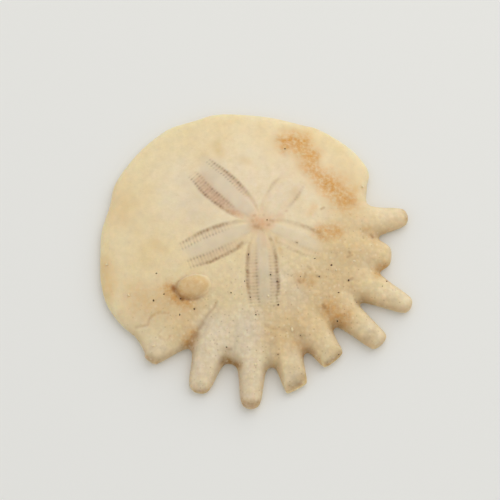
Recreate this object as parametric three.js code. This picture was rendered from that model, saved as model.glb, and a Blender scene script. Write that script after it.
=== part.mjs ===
// The dried skeleton (test) of a sand dollar whose rear margin grew out into nine fingers.
// It is one closed body: a low dome with a rounded margin, five petals on top round the apex, one oval
// growth, three finger ends broken flat, and a flat underside with the mouth, the vent and the food grooves.
// Millimetres, +Z up, resting on z = 0.
import * as THREE from "three";
import { ConvexGeometry } from "three/addons/geometries/ConvexGeometry.js";
import { mergeGeometries, mergeVertices } from "three/addons/utils/BufferGeometryUtils.js";

// Driving sizes
const APEX_HEIGHT = 5.6; // underside to the top of the dome
const MARGIN_HEIGHT = 2.0; // top of the thin margin, just inside its rounding
const EDGE_HEIGHT = 0.85; // the widest line of the rounded margin
const DISC_RADIUS = 21.6; // the round test, without its fingers
const APEX = new THREE.Vector2(1.55, 3.05); // seen from the middle of the disc
const DOME_FULLNESS = 1.25; // higher makes the flanks fall away sooner
const TOP_ROUNDING = 1.5; // width of the margin's rounding, above and below the edge line
const UNDER_ROUNDING = 0.9;

// The smooth front margin, from the last finger round to the first, clockwise from above
const FRONT_MARGIN = [
  [-18.15, -11.3], [-20.4, -8.3], [-21.5, -4.7], [-21.7, -0.6], [-21.55, 3.5], [-20.5, 7.2], [-19.8, 10.6],
  [-17.3, 14.6], [-14.65, 17.45], [-11.7, 19.6], [-8.3, 20.75], [-5.2, 21.75], [-1.2, 21.8], [3.2, 21.3],
  [7.9, 20.1], [9.8, 19.6], [13.7, 17.25], [15.85, 15.3], [17.5, 12.6], [17.2, 10.4], [17.35, 7.55],
];

// Fingers, clockwise from above. tip: its furthest point. aim: the way it points, in degrees from +X.
// width: across the shoulders. crown: how far the tip stands past them. notch and gap: the middle and width
// of the hollow that follows it. valley and depth: where that hollow's furrow ends, and how deep it starts.
const FINGERS = [
  { tip: [23.1, 5.75], aim: 10, width: 3.0, crown: 1.3,
    notch: [18.9, 2.4], gap: 0.5, valley: [14.6, 2.6], depth: 0.6 },
  { tip: [20.6, -0.5], aim: -4, width: 3.3, crown: 0.6,
    notch: [19.0, -2.9], gap: 0.4, valley: [15.0, -1.6], depth: 0.5 },
  { tip: [23.35, -8.15], aim: -22, width: 2.6, crown: 0.8,
    notch: [16.1, -7.8], gap: 0.5, valley: [12.3, -5.5], depth: 0.8 },
  { tip: [19.0, -13.85], aim: -44, width: 2.9, crown: 0.6,
    notch: [12.3, -11.55], gap: 0.7, valley: [9.2, -8.6], depth: 0.9 },
  { tip: [12.2, -16.4], aim: -50, width: 3.4, crown: 0.3,
    notch: [8.1, -15.35], gap: 0.7, valley: [5.6, -11.7], depth: 0.8 },
  { tip: [6.85, -20.6], aim: -61, width: 3.2, crown: 0.2,
    notch: [3.1, -17.5], gap: 0.9, valley: [2.6, -11.3], depth: 0.9 },
  { tip: [0.15, -23.55], aim: -91, width: 2.9, crown: 1.3,
    notch: [-2.75, -17.05], gap: 1.5, valley: [-1.6, -12.4], depth: 0.9 },
  { tip: [-7.5, -21.15], aim: -108, width: 3.2, crown: 1.2,
    notch: [-8.65, -14.75], gap: 0.7, valley: [-3.6, -7.8], depth: 1.1 },
  { tip: [-14.4, -16.45], aim: -125, width: 2.6, crown: 0.7,
    notch: [-16.7, -12.5], gap: 0.7, valley: [-14.4, -9.8], depth: 0.4 },
].map((finger) => ({
  ...finger,
  tip: new THREE.Vector2(...finger.tip),
  notch: new THREE.Vector2(...finger.notch),
  valley: new THREE.Vector2(...finger.valley),
}));
const RIDGE_HEIGHT = 0.5; // a finger's back above the dome beside it
const RIDGE_HALF_WIDTH = 2.6;
const RIDGE_LENGTH = 11; // from the tip back onto the dome
const VALLEY_HALF_WIDTH = 1.5;

// Finger ends that broke off flat. The break climbs inwards from a line across the end, at a given slope
const BREAKS = [
  { from: [5.4, -21.0], to: [8.1, -19.5], slope: 0.75 },
  { from: [10.6, -17.3], to: [13.3, -15.4], slope: 1.5 },
  { from: [-8.6, -20.8], to: [-6.1, -21.2], slope: 1.4 },
];
const BREAK_REACH = 3.2; // no break reaches further in than this

// Petals: two sunken bands of pores each, either side of a long flat middle
const PETALS = [
  { bearing: 55.5, length: 8.9 },
  { bearing: 133.3, length: 12.8 },
  { bearing: 202.3, length: 12.1 },
  { bearing: 272.8, length: 12.3 },
  { bearing: 338.6, length: 9.9 },
];
const PETAL_OUTER = 2.1; // petal axis to the outer row of pores, once it is open
const PETAL_INNER = 1.1; // petal axis to the inner row
const OUTER_OPENING = 2.1; // how soon each row reaches that distance from the apex
const INNER_OPENING = 1.7;
const BAND_DEPTH = 0.22;
const MIDDLE_RISE = 0.1;

// The small raised plate at the apex, and the oval growth on the dome's left rear flank
const APICAL_PLATE = { radius: 2.2, rise: 0.15 };
const GROWTH = { at: new THREE.Vector2(-8.0, -6.25), halfLength: 2.5, halfWidth: 1.75, turn: 10, rise: 1.2 };
const GROWTH_CREASE = { depth: 0.3, facing: -125 }; // deepest at that side of the growth, in degrees from +X

// Underside: the mouth below the apex, the vent behind it, and the forked food grooves
const MOUTH = { at: APEX, radius: 1.3, depth: 1.5 };
const VENT = { at: new THREE.Vector2(4.0, -1.7), radius: 0.7, depth: 0.9 };
const GROOVE = { start: 1.8, fork: 6.5, end: 15, spread: 15, halfWidth: 0.55, depth: 0.35 };

// Mesh spacing
const RIM_POINTS = 280;
const RIM_DENSITY = 8; // samples of the outline for each of those points
const TOP_INSETS = [0.2, 0.7, 1.4];
const UNDER_INSETS = [0.3, 0.9];
const COARSE_STEP = 1.15;
const FINE_STEP = 0.62;

const { clamp, degToRad, lerp, smoothstep } = THREE.MathUtils;
const polar = (degrees, reach) =>
  new THREE.Vector2(Math.cos(degToRad(degrees)), Math.sin(degToRad(degrees))).multiplyScalar(reach);
const around = (count) => Array.from({ length: count }, (_, i) => (360 * i) / count);
const swell = (distance, halfWidth) => 1 - smoothstep(distance, 0, halfWidth);

// The five points of a finger's end: shoulder, quarter, tip, quarter, shoulder, clockwise
function fingerEnd({ tip, aim, width, crown }) {
  const along = polar(aim, 1);
  const across = polar(aim + 90, 1);
  return [90, 45, 0, -45, -90].map((turn) => {
    const back = crown * (1 - Math.cos(degToRad(turn)));
    const aside = (width / 2) * Math.sin(degToRad(turn));
    return tip.clone().addScaledVector(along, -back).addScaledVector(across, aside);
  });
}

// The two points of the hollow between one finger and the next
function notchFloor({ notch, gap, valley }) {
  const inwards = valley.clone().sub(notch).normalize();
  const across = new THREE.Vector2(inwards.y, -inwards.x);
  return [gap / 2, -gap / 2].map((aside) => notch.clone().addScaledVector(across, aside));
}

// The closed outline seen from above, with equal steps between its points
function outline(samples) {
  const corners = FRONT_MARGIN.map(([x, y]) => new THREE.Vector2(x, y));
  for (const finger of FINGERS) corners.push(...fingerEnd(finger), ...notchFloor(finger));
  const knots = corners.map(({ x, y }) => new THREE.Vector3(x, y, 0));
  const curve = new THREE.CatmullRomCurve3(knots, true, "centripetal");
  curve.arcLengthDivisions = samples * 4;
  return curve.getSpacedPoints(samples).slice(1).map(({ x, y }) => new THREE.Vector2(x, y));
}

const outlineSamples = outline(RIM_POINTS * RIM_DENSITY);
const rim = outlineSamples.filter((_, i) => i % RIM_DENSITY === 0);

function toMargin(point) {
  let nearest = Infinity;
  for (const sample of outlineSamples) nearest = Math.min(nearest, sample.distanceToSquared(point));
  return Math.sqrt(nearest);
}

function isInside(point) {
  let inside = false;
  rim.forEach((from, i) => {
    const to = rim[(i + 1) % rim.length];
    if (from.y > point.y === to.y > point.y) return;
    const share = (point.y - from.y) / (to.y - from.y);
    if (point.x < lerp(from.x, to.x, share)) inside = !inside;
  });
  return inside;
}

// How far a point lies from a straight piece, and the share of that piece where it is nearest
function toSegment(point, from, to) {
  const run = to.clone().sub(from);
  const share = clamp(point.clone().sub(from).dot(run) / run.lengthSq(), 0, 1);
  return { distance: from.clone().addScaledVector(run, share).distanceTo(point), share };
}

// Heights. A quarter round goes from 0 at the edge line to 1 at one rounding width inside it.
const rounding = (inside, width) => Math.sqrt(1 - (1 - clamp((inside - 0.001) / width, 0, 1)) ** 2);

function domeHeight(point) {
  const out = point.distanceTo(APEX);
  const left = Math.max(DISC_RADIUS - point.length(), 0);
  const share = out / (out + left + 1e-6);
  return lerp(MARGIN_HEIGHT, APEX_HEIGHT - APICAL_PLATE.rise, (1 - share ** 2) ** DOME_FULLNESS);
}

// Finger backs run up onto the dome, and a furrow runs in from each notch between them
function fingerRelief(point) {
  let relief = 0;
  for (const { tip, aim, notch, valley, depth } of FINGERS) {
    const back = toSegment(point, tip, tip.clone().add(polar(aim, -RIDGE_LENGTH)));
    relief += RIDGE_HEIGHT * swell(back.distance, RIDGE_HALF_WIDTH) * smoothstep(1 - back.share, 0, 0.6);
    const furrow = toSegment(point, notch, valley);
    relief -= depth * swell(furrow.distance, VALLEY_HALF_WIDTH) * (1 - furrow.share);
  }
  return relief;
}

// Distances from a petal's axis to its outer and inner rows of pores
const outerRow = (along) => PETAL_OUTER * (1 - Math.exp(-along / OUTER_OPENING));
const innerRow = (along) => PETAL_INNER * (1 - Math.exp(-along / INNER_OPENING));

function petalRelief(point) {
  const spoke = point.clone().sub(APEX);
  let relief = APICAL_PLATE.rise * swell(spoke.length(), APICAL_PLATE.radius);
  for (const { bearing, length } of PETALS) {
    const along = spoke.dot(polar(bearing, 1));
    if (along <= 0) continue;
    const aside = Math.abs(spoke.dot(polar(bearing + 90, 1)));
    const [outer, inner] = [outerRow(along), innerRow(along)];
    const shown = smoothstep(along, 0.8, 2.4) * (1 - smoothstep(along, length - 1.5, length + 0.4));
    relief -= BAND_DEPTH * shown * swell(Math.abs(aside - (outer + inner) / 2), outer - inner);
    relief += MIDDLE_RISE * shown * swell(aside, inner * 1.2);
  }
  return relief;
}

// A crease runs round one side of the growth's foot
function growthRelief(point) {
  const offset = point.clone().sub(GROWTH.at).rotateAround(new THREE.Vector2(), -degToRad(GROWTH.turn));
  const stretched = new THREE.Vector2(offset.x / GROWTH.halfLength, offset.y / GROWTH.halfWidth);
  const out = stretched.length();
  const facing = Math.cos(stretched.angle() - degToRad(GROWTH_CREASE.facing));
  const crease = swell(Math.abs(out - 1.12), 0.3) * smoothstep(facing, -0.55, 0.35);
  return GROWTH.rise * Math.sqrt(Math.max(1 - out ** 2, 0)) - GROWTH_CREASE.depth * crease;
}

function breakHeight(point, { from, to, slope }) {
  const start = new THREE.Vector2(...from);
  const run = new THREE.Vector2(...to).sub(start);
  const along = point.clone().sub(start).dot(run) / run.lengthSq();
  const inside = point.clone().sub(start).cross(run) / -run.length();
  const beside = Math.abs(along - 0.5) > 0.8 || inside > BREAK_REACH;
  return beside ? Infinity : EDGE_HEIGHT + slope * Math.max(inside, 0);
}

function topHeight(point) {
  const full = domeHeight(point) + fingerRelief(point) + petalRelief(point) + growthRelief(point);
  const whole = lerp(EDGE_HEIGHT, full, rounding(toMargin(point), TOP_ROUNDING));
  return Math.min(whole, ...BREAKS.map((end) => breakHeight(point, end)));
}

// Each food groove is a stem from the mouth, and two branches that grow shallow towards the margin
function grooveLines() {
  return PETALS.flatMap(({ bearing }) => {
    const fork = APEX.clone().add(polar(bearing, GROOVE.fork));
    const ends = [-1, 1].map((side) => APEX.clone().add(polar(bearing + side * GROOVE.spread, GROOVE.end)));
    const stem = { from: APEX.clone().add(polar(bearing, GROOVE.start)), to: fork, fading: 0 };
    return [stem, ...ends.map((to) => ({ from: fork, to, fading: 1 }))];
  });
}

const pitDepth = (point, { at, radius, depth }) =>
  depth * (1 - smoothstep(point.distanceTo(at), radius * 0.4, radius));

function grooveDepth(point, { from, to, fading }) {
  const { distance, share } = toSegment(point, from, to);
  return GROOVE.depth * swell(distance, GROOVE.halfWidth) * (1 - fading * share);
}

function underHeight(point) {
  const lifted = EDGE_HEIGHT * (1 - rounding(toMargin(point), UNDER_ROUNDING));
  const pits = [MOUTH, VENT].map((pit) => pitDepth(point, pit));
  const grooves = grooveLines().map((line) => grooveDepth(point, line));
  return lifted + Math.max(...pits, ...grooves);
}

// Mesh points: each candidate is kept where it is inside the outline and far enough from those already kept
function addPoints(points, candidates, gap, fromMargin) {
  for (const candidate of candidates) {
    if (points.some((point) => point.distanceTo(candidate) < gap)) continue;
    if (toMargin(candidate) >= fromMargin && isInside(candidate)) points.push(candidate);
  }
}

const insetRim = (inset) =>
  rim.map((point, i) => {
    const run = rim[(i + 1) % rim.length].clone().sub(rim.at(i - 1)).normalize();
    return new THREE.Vector2(point.x + run.y * inset, point.y - run.x * inset);
  });

// Steps along a straight line, with a point on it and one at each side
function linePoints(from, to, step, aside) {
  const across = new THREE.Vector2(from.y - to.y, to.x - from.x).setLength(aside);
  const count = Math.ceil(from.distanceTo(to) / step);
  const steps = Array.from({ length: count + 1 }, (_, i) => from.clone().lerp(to, i / count));
  return steps.flatMap((point) => [point, point.clone().add(across), point.clone().sub(across)]);
}

// A row of points where a break meets the back of its finger, and one half way down it
function breakPoints({ from, to, slope }) {
  const [start, end] = [new THREE.Vector2(...from), new THREE.Vector2(...to)];
  const inwards = new THREE.Vector2(start.y - end.y, end.x - start.x).normalize();
  const depth = (MARGIN_HEIGHT - EDGE_HEIGHT + RIDGE_HEIGHT) / slope;
  const rows = [0.5, 1, 1.15].map((share) => inwards.clone().multiplyScalar(depth * share));
  const across = [0, 0.2, 0.4, 0.6, 0.8, 1].map((share) => start.clone().lerp(end, share));
  return rows.flatMap((step) => across.map((point) => point.clone().add(step)));
}

const ringPoints = (at, radius, count) => around(count).map((turn) => at.clone().add(polar(turn, radius)));

function gridPoints(step) {
  const reach = Math.ceil((DISC_RADIUS + 4) / step);
  const points = [];
  for (let row = -reach; row <= reach; row++)
    for (let column = -reach; column <= reach; column++)
      points.push(new THREE.Vector2((column + (row % 2) / 2) * step, row * step * 0.866));
  return points;
}

function petalPoints() {
  const points = [];
  for (const { bearing, length } of PETALS)
    for (let along = 1; along < length + 0.8; along += FINE_STEP) {
      const [outer, inner] = [outerRow(along), innerRow(along)];
      const asides = [0, inner * 0.7, (outer + inner) / 2, outer * 1.25];
      for (const aside of asides.flatMap((reach) => [reach, -reach]))
        points.push(APEX.clone().add(polar(bearing, along)).add(polar(bearing + 90, aside)));
    }
  return points;
}

// Ovals of points that follow the growth's foot, its crease and its crown
function growthPoints() {
  const middle = new THREE.Vector2();
  const shares = [0.45, 0.8, 0.98, 1.1, 1.4];
  const ovals = shares.map((share) => ringPoints(middle, share, Math.round(6 + 14 * share)));
  return ovals.flat().map(({ x, y }) =>
    new THREE.Vector2(x * GROWTH.halfLength, y * GROWTH.halfWidth)
      .rotateAround(middle, degToRad(GROWTH.turn))
      .add(GROWTH.at),
  );
}

function topPoints() {
  const points = [...rim];
  for (const inset of TOP_INSETS) addPoints(points, insetRim(inset), 0.17, inset * 0.96);
  addPoints(points, BREAKS.flatMap(breakPoints), 0.25, 0.3);
  addPoints(points, [...growthPoints(), ...petalPoints()], 0.3, 1.6);
  for (const { tip, aim, notch, valley } of FINGERS) {
    const backEnd = tip.clone().add(polar(aim, -RIDGE_LENGTH * 0.8));
    addPoints(points, linePoints(notch, valley, FINE_STEP, 0.7), 0.45, 1.5);
    addPoints(points, linePoints(tip, backEnd, FINE_STEP, 1.1), 0.45, 1.5);
  }
  addPoints(points, gridPoints(COARSE_STEP), COARSE_STEP * 0.72, 1.9);
  return points;
}

function underPoints() {
  const points = [...rim];
  for (const inset of UNDER_INSETS) addPoints(points, insetRim(inset), 0.25, inset * 0.96);
  for (const { at, radius } of [MOUTH, VENT])
    for (const share of [0.4, 0.7, 1]) addPoints(points, ringPoints(at, radius * share, 14), 0.1, 1);
  for (const { from, to } of grooveLines())
    addPoints(points, linePoints(from, to, 0.8, GROOVE.halfWidth), 0.25, 1);
  return points;
}

// Triangles between scattered points: once the points are lifted onto a bowl, its convex hull has them below
function skin(points, heightAt, facesUp) {
  const bowl = new ConvexGeometry(points.map(({ x, y }) => new THREE.Vector3(x, y, (x * x + y * y) / 20)));
  const corners = bowl.getAttribute("position");
  const normals = bowl.getAttribute("normal");
  const surface = [];
  for (let i = 0; i < corners.count; i += 3) {
    const face = [0, 1, 2].map((corner) => new THREE.Vector2().fromBufferAttribute(corners, i + corner));
    const middle = face[0].clone().add(face[1]).add(face[2]).divideScalar(3);
    if (normals.getZ(i) >= 0 || !isInside(middle)) continue;
    if (facesUp) face.reverse();
    surface.push(...face.map((corner) => new THREE.Vector3(corner.x, corner.y, heightAt(corner))));
  }
  return new THREE.BufferGeometry().setFromPoints(surface);
}

function makeTest() {
  const top = skin(topPoints(), topHeight, true);
  const underside = skin(underPoints(), underHeight, false);
  const test = mergeVertices(mergeGeometries([top, underside]), 1e-4);
  test.computeBoundingBox();
  const { min, max } = test.boundingBox;
  test.translate(-(min.x + max.x) / 2, -(min.y + max.y) / 2, -min.z);
  test.computeVertexNormals();
  return test;
}

const chalk = new THREE.MeshStandardMaterial({ color: "#e3cfa8", roughness: 0.85, metalness: 0 });
const sandDollar = new THREE.Mesh(makeTest(), chalk);
sandDollar.name = "sand_dollar";

const group = new THREE.Group();
group.add(sandDollar);

export default group;
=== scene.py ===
import math

import bmesh
import bpy
import numpy as np
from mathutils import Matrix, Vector, kdtree
from mathutils.geometry import delaunay_2d_cdt


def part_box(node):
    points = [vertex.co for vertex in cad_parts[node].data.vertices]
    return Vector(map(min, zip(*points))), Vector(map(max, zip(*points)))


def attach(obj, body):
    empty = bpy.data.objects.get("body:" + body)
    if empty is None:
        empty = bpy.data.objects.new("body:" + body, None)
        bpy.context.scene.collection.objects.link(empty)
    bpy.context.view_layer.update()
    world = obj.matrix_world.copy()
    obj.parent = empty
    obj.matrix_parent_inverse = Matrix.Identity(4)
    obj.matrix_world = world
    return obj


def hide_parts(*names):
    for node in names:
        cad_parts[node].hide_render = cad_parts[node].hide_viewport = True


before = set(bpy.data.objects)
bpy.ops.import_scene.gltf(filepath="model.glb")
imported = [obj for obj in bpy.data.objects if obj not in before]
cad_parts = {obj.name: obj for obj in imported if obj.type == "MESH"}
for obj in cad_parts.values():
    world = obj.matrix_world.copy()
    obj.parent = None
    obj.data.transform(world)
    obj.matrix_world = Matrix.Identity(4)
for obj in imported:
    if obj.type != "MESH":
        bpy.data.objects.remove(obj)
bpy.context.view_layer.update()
print("stage: frame loaded")

# Shapes are worked out in millimetres, seen from above, and turned to metres when a mesh is made.
# Marks are placed by the photograph's own pixels, through the camera that took it.

sandDollar = {
    "apexHeight": 5.6,  # underside to the top of the dome
    "marginHeight": 2.0,  # the thin margin, just inside its rounding
    "edgeHeight": 0.85,  # the widest line of the margin
    "discRadius": 21.6,  # the round test, without its fingers
    "apex": (1.55, 3.05),
    "domeFullness": 1.25,
    "topRounding": 1.5,
    "underRounding": 0.9,
    "frontMargin": [
        (-18.15, -11.3), (-20.4, -8.3), (-21.5, -4.7), (-21.7, -0.6), (-21.55, 3.5), (-20.5, 7.2), (-19.8, 10.6),
        (-17.3, 14.6), (-14.65, 17.45), (-11.7, 19.6), (-8.3, 20.75), (-5.2, 21.75), (-1.2, 21.8), (3.2, 21.3),
        (7.9, 20.1), (9.8, 19.6), (13.7, 17.25), (15.85, 15.3), (17.5, 12.6), (17.2, 10.4), (17.35, 7.55),
    ],
    "ridgeHeight": 0.5,
    "ridgeHalfWidth": 2.6,
    "ridgeLength": 11,
    "ridgeRise": 0.6,  # the inner share of a ridge, over which it rises from the disc
    "valleyHalfWidth": 1.5,
    "valleyShare": 0.85,  # of the depth that is given for each hollow
    "roughFacing": -62,  # the test is worn smooth away from this bearing and rough towards it
    "roughBetween": (-6, 10),  # mm along that bearing, from worn to fully rough
    "rimStep": 0.2,  # mesh spacing round the outline, in the petals, over the rest of the top, and below
    "petalStep": 0.11,
    "topStep": 0.16,
    "underStep": 0.34,
    "rimInsets": [0.02, 0.07, 0.15, 0.27, 0.42],
    "gridReach": 25,  # half the width of the grid of points, and of the finer one for the petals
    "petalReach": 17,
}

# Clockwise: tip, the way it points, width at the shoulders, how far the tip stands past them,
# then the middle and width of the hollow after it, where that hollow's furrow ends, and its depth
fingers = [
    {"tip": (23.1, 5.75), "aim": 10, "width": 3.0, "crown": 1.3,
     "notch": (18.9, 2.4), "gap": 0.5, "valley": (14.6, 2.6), "depth": 0.6},
    {"tip": (20.6, -0.5), "aim": -4, "width": 3.3, "crown": 0.6,
     "notch": (19.0, -2.9), "gap": 0.4, "valley": (15.0, -1.6), "depth": 0.5},
    {"tip": (23.35, -8.15), "aim": -22, "width": 2.6, "crown": 0.8,
     "notch": (16.1, -7.8), "gap": 0.5, "valley": (12.3, -5.5), "depth": 0.8},
    {"tip": (19.0, -13.85), "aim": -44, "width": 2.9, "crown": 0.6,
     "notch": (12.3, -11.55), "gap": 0.7, "valley": (9.2, -8.6), "depth": 0.9},
    {"tip": (12.2, -16.4), "aim": -50, "width": 3.4, "crown": 0.3,
     "notch": (8.1, -15.35), "gap": 0.7, "valley": (5.6, -11.7), "depth": 0.8},
    {"tip": (6.85, -20.6), "aim": -61, "width": 3.2, "crown": 0.2,
     "notch": (3.1, -17.5), "gap": 0.9, "valley": (2.6, -11.3), "depth": 0.9},
    {"tip": (0.15, -23.55), "aim": -91, "width": 2.9, "crown": 1.3,
     "notch": (-2.75, -17.05), "gap": 1.5, "valley": (-1.6, -12.4), "depth": 0.9},
    {"tip": (-7.5, -21.15), "aim": -108, "width": 3.2, "crown": 1.2,
     "notch": (-8.65, -14.75), "gap": 0.7, "valley": (-3.6, -7.8), "depth": 1.1},
    {"tip": (-14.4, -16.45), "aim": -125, "width": 2.6, "crown": 0.7,
     "notch": (-16.7, -12.5), "gap": 0.7, "valley": (-14.4, -9.8), "depth": 0.4},
]


def direction(degrees):
    return np.array([math.cos(math.radians(degrees)), math.sin(math.radians(degrees))])


def ease(value, low, high):
    share = np.clip((value - low) / (high - low), 0, 1)
    return share * share * (3 - 2 * share)


def swell(distance, halfWidth):
    return 1 - ease(distance, 0, halfWidth)


tableSize = 256  # the random tables repeat after this many lumps or grains


def softNoise(points, size, seed):  # smooth random heights from -1 to 1, with lumps about as wide as size
    table = np.random.RandomState(seed).uniform(-1, 1, (tableSize, tableSize))
    cell = points / size
    corner = np.floor(cell).astype(int)
    share = cell - corner
    share = share * share * (3 - 2 * share)
    (column, row), (nextColumn, nextRow) = corner.T % tableSize, (corner.T + 1) % tableSize
    low = table[column, row] * (1 - share[:, 0]) + table[nextColumn, row] * share[:, 0]
    high = table[column, nextRow] * (1 - share[:, 0]) + table[nextColumn, nextRow] * share[:, 0]
    return low * (1 - share[:, 1]) + high * share[:, 1]


def grains(points, spacing, seed):  # round grains: up to 1 on a grain's top, 0 between grains
    widest = 0.55  # the radius of the largest grain, in spacings
    random = np.random.RandomState(seed)
    jitter = random.uniform(0.15, 0.85, (tableSize, tableSize, 2))
    sizes = random.uniform(0.6, 1, (tableSize, tableSize))
    cell = points / spacing
    corner = np.floor(cell).astype(int)
    best = np.zeros(len(points))
    for stepX in (-1, 0, 1):
        for stepY in (-1, 0, 1):
            near = corner + (stepX, stepY)
            index = tuple(near.T % tableSize)
            away = np.linalg.norm(near + jitter[index] - cell, axis=1) / (widest * sizes[index])
            best = np.maximum(best, np.clip(1 - away**2, 0, 1) * sizes[index])
    return best


def toSegment(points, start, end):  # distance to a straight piece, and the share of it where it is nearest
    start, end = np.array(start), np.array(end)
    run = end - start
    share = np.clip((points - start) @ run / (run @ run), 0, 1)
    return np.linalg.norm(points - start - share[:, None] * run, axis=1), share


def toLine(points, places):  # distance to a line of several straight pieces
    return np.min([toSegment(points, start, end)[0] for start, end in zip(places, places[1:])], axis=0)


# The outline, seen from above
def fingerEnd(finger):
    along, across = direction(finger["aim"]), direction(finger["aim"] + 90)
    return [
        np.array(finger["tip"])
        - along * finger["crown"] * (1 - math.cos(math.radians(turn)))
        + across * finger["width"] / 2 * math.sin(math.radians(turn))
        for turn in (90, 45, 0, -45, -90)
    ]


def notchFloor(finger):
    notch, valley = np.array(finger["notch"]), np.array(finger["valley"])
    inwards = (valley - notch) / np.linalg.norm(valley - notch)
    across = np.array([inwards[1], -inwards[0]])
    return [notch + across * finger["gap"] / 2, notch - across * finger["gap"] / 2]


def smoothLoop(knots, samples):  # a closed curve through the knots, with equal steps between its points
    knots = np.array(knots)
    steps = np.linspace(0, 1, 60, endpoint=False)[:, None]  # fine enough to measure the length by
    pieces = []
    for i in range(len(knots)):
        p0, p1, p2, p3 = (knots[(i + k) % len(knots)] for k in (-1, 0, 1, 2))
        t0, t1, t2 = (math.sqrt(np.linalg.norm(b - a)) for a, b in ((p0, p1), (p1, p2), (p2, p3)))
        leave = ((p1 - p0) / t0 - (p2 - p0) / (t0 + t1) + (p2 - p1) / t1) * t1
        arrive = ((p2 - p1) / t1 - (p3 - p1) / (t1 + t2) + (p3 - p2) / t2) * t1
        cubic = 2 * p1 - 2 * p2 + leave + arrive
        square = -3 * p1 + 3 * p2 - 2 * leave - arrive
        pieces.append(p1 + leave * steps + square * steps**2 + cubic * steps**3)
    loop = np.vstack(pieces + [knots[:1]])
    lengths = np.concatenate([[0], np.cumsum(np.linalg.norm(np.diff(loop, axis=0), axis=1))])
    marks = np.linspace(0, lengths[-1], samples, endpoint=False)
    return np.column_stack([np.interp(marks, lengths, loop[:, axis]) for axis in (0, 1)]), lengths[-1]


def testOutline():
    knots = [np.array(point) for point in sandDollar["frontMargin"]]
    for finger in fingers:
        knots += fingerEnd(finger) + notchFloor(finger)
    length = smoothLoop(knots, 100)[1]  # any number of points gives the length
    return smoothLoop(knots, round(length / sandDollar["rimStep"]))[0]


rim = testOutline()
boxLow, boxHigh = (np.array(corner) * 1000 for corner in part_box("sand_dollar"))
shift = (boxLow + boxHigh)[:2] / 2 - (rim.min(0) + rim.max(0)) / 2  # from the disc's middle to the part's origin
quarters = [rim + (np.roll(rim, -1, 0) - rim) * share for share in (0, 0.25, 0.5, 0.75)]
rimTree = kdtree.KDTree(len(rim) * len(quarters))
for i, (x, y) in enumerate(np.vstack(quarters)):
    rimTree.insert((x, y, 0), i)
rimTree.balance()


def toMargin(points):
    return np.array([rimTree.find((x, y, 0))[2] for x, y in points])


def insideOutline(points):
    inside = np.zeros(len(points), bool)
    for start, end in zip(rim, np.roll(rim, -1, 0)):
        if start[1] == end[1]:
            continue
        crosses = (start[1] > points[:, 1]) != (end[1] > points[:, 1])
        at = start[0] + (end[0] - start[0]) * (points[:, 1] - start[1]) / (end[1] - start[1])
        inside ^= crosses & (points[:, 0] < at)
    return inside


# The camera that took the photograph
photo = {
    "elevation": 70,  # the camera looks down this steeply, from the -Y side
    "distance": 400,
    "pixelsPerMm": 6.869,  # at that distance
    "originAt": (255.8, 261.1),  # the pixel of the part's origin
    "size": 500,  # the width and height of the photograph
}


def toPhoto(points, heights):  # the photo pixel of each point of the test
    x, y = (points + shift).T
    flat, up = direction(photo["elevation"])
    depth = -y * flat + heights * up
    scale = photo["pixelsPerMm"] * photo["distance"] / (photo["distance"] - depth)
    left, top = photo["originAt"]
    return np.column_stack([left + x * scale, top - (y * up + heights * flat) * scale])


def fromPhoto(pixels):  # the points of the test under these photo pixels
    pixels = np.array(pixels, float)
    points = np.zeros((len(pixels), 2))
    for _ in range(8):
        missed = pixels - toPhoto(points, plainHeight(points))
        points += missed * (1, -1 / direction(photo["elevation"])[1]) / photo["pixelsPerMm"]
    return points


# Heights of the upper side
def rounding(inside, width):
    return np.sqrt(1 - (1 - np.clip((inside - 0.001) / width, 0, 1)) ** 2)


def domeHeight(points):
    out = np.linalg.norm(points - sandDollar["apex"], axis=1)
    left = np.maximum(sandDollar["discRadius"] - np.linalg.norm(points, axis=1), 0)
    share = out / (out + left + 1e-6)
    low, high = sandDollar["marginHeight"], sandDollar["apexHeight"] - petals["plateRise"]
    return low + (high - low) * (1 - share**2) ** sandDollar["domeFullness"]


def fingerRelief(points):
    relief = np.zeros(len(points))
    for finger in fingers:
        tip = np.array(finger["tip"])
        back, backShare = toSegment(points, tip, tip - direction(finger["aim"]) * sandDollar["ridgeLength"])
        risen = ease(1 - backShare, 0, sandDollar["ridgeRise"])
        relief += sandDollar["ridgeHeight"] * swell(back, sandDollar["ridgeHalfWidth"]) * risen
        furrow, furrowShare = toSegment(points, finger["notch"], finger["valley"])
        depth = sandDollar["valleyShare"] * finger["depth"]
        relief -= depth * swell(furrow, sandDollar["valleyHalfWidth"]) * (1 - furrowShare)
    return relief


def plainHeight(points):  # without petals, growth and texture
    low = sandDollar["edgeHeight"]
    full = domeHeight(points) + fingerRelief(points)
    return low + (full - low) * rounding(toMargin(points), sandDollar["topRounding"])


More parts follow.
